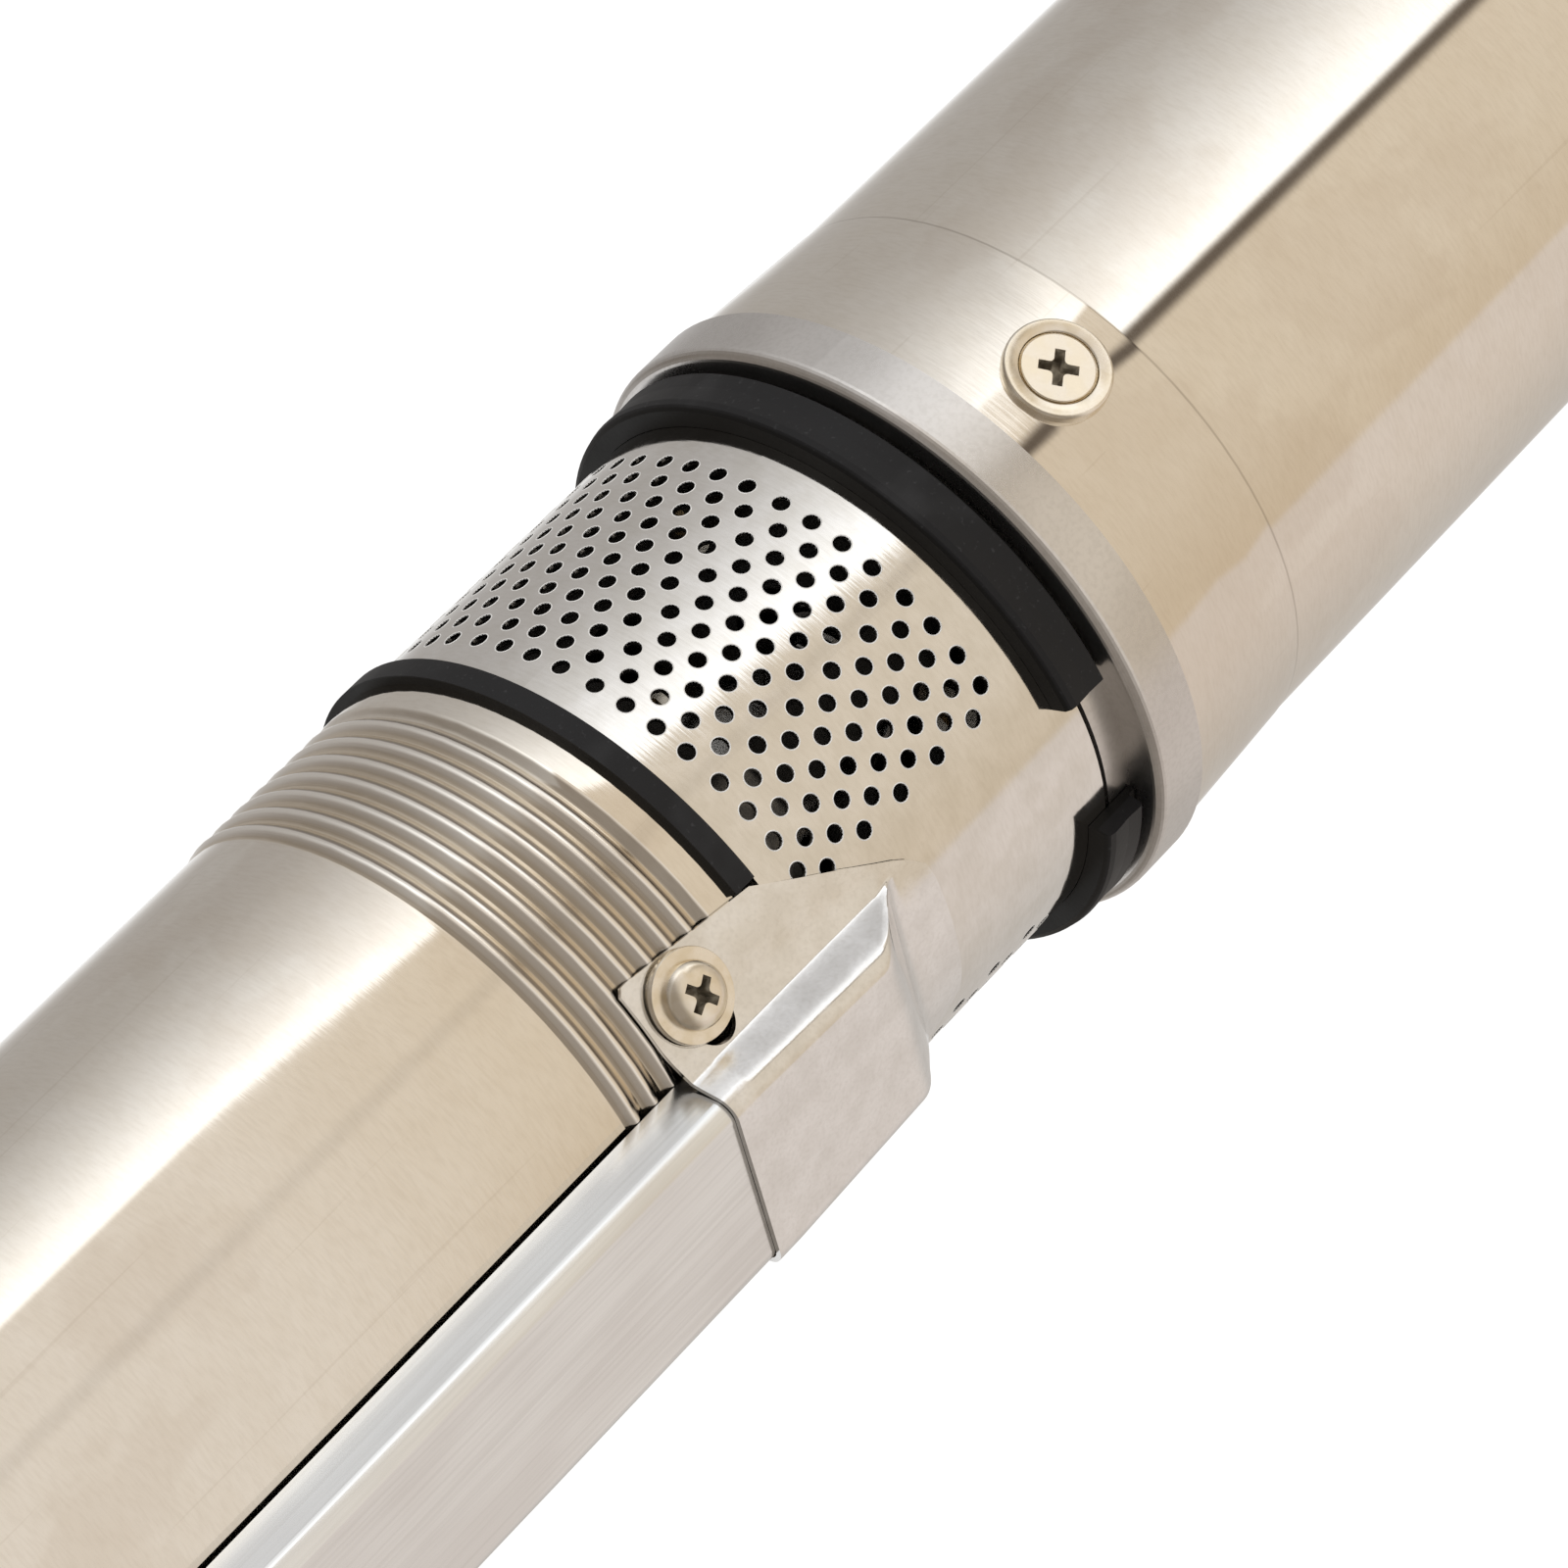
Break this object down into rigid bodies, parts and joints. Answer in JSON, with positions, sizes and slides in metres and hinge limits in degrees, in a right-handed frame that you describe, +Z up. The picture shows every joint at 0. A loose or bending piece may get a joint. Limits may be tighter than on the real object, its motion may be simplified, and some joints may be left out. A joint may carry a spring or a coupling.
{
  "type": "borehole submersible pump",
  "caption": "Slim stainless borehole pump: threaded outlet with check valve, multistage pump tube with cable guard, perforated suction strainer and sealed motor below.",
  "frame": {"origin": "centre of the outlet thread at its mouth", "axes": "+Z up along the shaft out of the outlet, cable guard on the -Y side"},
  "size_m": [0.0884, 0.0902, 0.6765],
  "materials": {
    "polished_steel": "polished",
    "satin_steel": "satin",
    "bright_screws": "bright",
    "black_rubber": "matte",
    "brass": "turned",
    "seal_ceramic": "lapped",
    "seal_carbon": "lapped",
    "core_steel": "laminated",
    "copper": "varnished",
    "bearing_steel": "ground",
    "bowl_plastic": "moulded",
    "impeller_plastic": "moulded"
  },
  "bodies": {
    "housing": {"motor_tube": "polished_steel", "pump_tube": "polished_steel", "cable_guard": "polished_steel", "guard_foot": "polished_steel", "strainer": "polished_steel", "upper_bracket": "satin_steel", "lower_bracket": "satin_steel", "base_cap": "satin_steel", "discharge_head": "satin_steel", "inlet_casing": "satin_steel", "bearing_spider": "satin_steel", "valve_spring": "satin_steel", "seat_circlip": "satin_steel", "guard_screws": "bright_screws", "bracket_screws": "bright_screws", "cup_washers": "bright_screws", "inlet_bolts": "bright_screws", "base_screws": "bright_screws", "strainer_gasket": "black_rubber", "rubber_ring": "black_rubber", "bracket_oring": "black_rubber", "base_oring": "black_rubber", "cable_gland": "black_rubber", "top_bush": "black_rubber", "valve_seat": "brass", "valve_guide": "brass", "fill_plug": "brass", "seal_seat": "seal_ceramic", "stator_core": "core_steel", "winding_top": "copper", "winding_bottom": "copper", "upper_bearing_outer": "bearing_steel", "lower_bearing_outer": "bearing_steel", "stage_bowl_1": "bowl_plastic", "stage_bowl_2": "bowl_plastic", "stage_bowl_3": "bowl_plastic", "stage_bowl_4": "bowl_plastic", "stage_bowl_5": "bowl_plastic", "stage_bowl_6": "bowl_plastic"},
    "rotor": {"motor_shaft": "satin_steel", "rotor_core": "core_steel", "upper_bearing_inner": "bearing_steel", "lower_bearing_inner": "bearing_steel", "seal_face": "seal_carbon", "seal_spring": "satin_steel", "coupling": "satin_steel", "coupling_key": "satin_steel", "pump_shaft": "satin_steel", "top_sleeve": "satin_steel", "shaft_nut": "bright_screws", "impeller_1": "impeller_plastic", "impeller_2": "impeller_plastic", "impeller_3": "impeller_plastic", "impeller_4": "impeller_plastic", "impeller_5": "impeller_plastic", "impeller_6": "impeller_plastic"},
    "upper_cage": {"upper_bearing_cage": "bearing_steel"},
    "lower_cage": {"lower_bearing_cage": "bearing_steel"},
    "check_valve": {"valve_poppet": "brass", "valve_washer": "black_rubber"}
  },
  "joints": [
    {"name": "rotor_spin", "type": "hinge", "parent": "housing", "child": "rotor", "pos_m": [0, 0, 0], "axis": [0, 0, 1], "continuous": true},
    {"name": "upper_cage_spin", "type": "hinge", "parent": "housing", "child": "upper_cage", "pos_m": [0, 0, 0], "axis": [0, 0, 1], "continuous": true},
    {"name": "lower_cage_spin", "type": "hinge", "parent": "housing", "child": "lower_cage", "pos_m": [0, 0, 0], "axis": [0, 0, 1], "continuous": true},
    {"name": "valve_lift", "type": "slide", "parent": "housing", "child": "check_valve", "axis": [0, 0, 1], "range_m": [0, 0.01], "stiffness_N_per_m": 120, "springref_m": -0.02, "deforming": ["valve_spring"]}
  ],
  "couplings": [
    {"joint": "upper_cage_spin", "follows": "rotor_spin", "ratio": 0.3807},
    {"joint": "lower_cage_spin", "follows": "rotor_spin", "ratio": 0.3807}
  ]
}
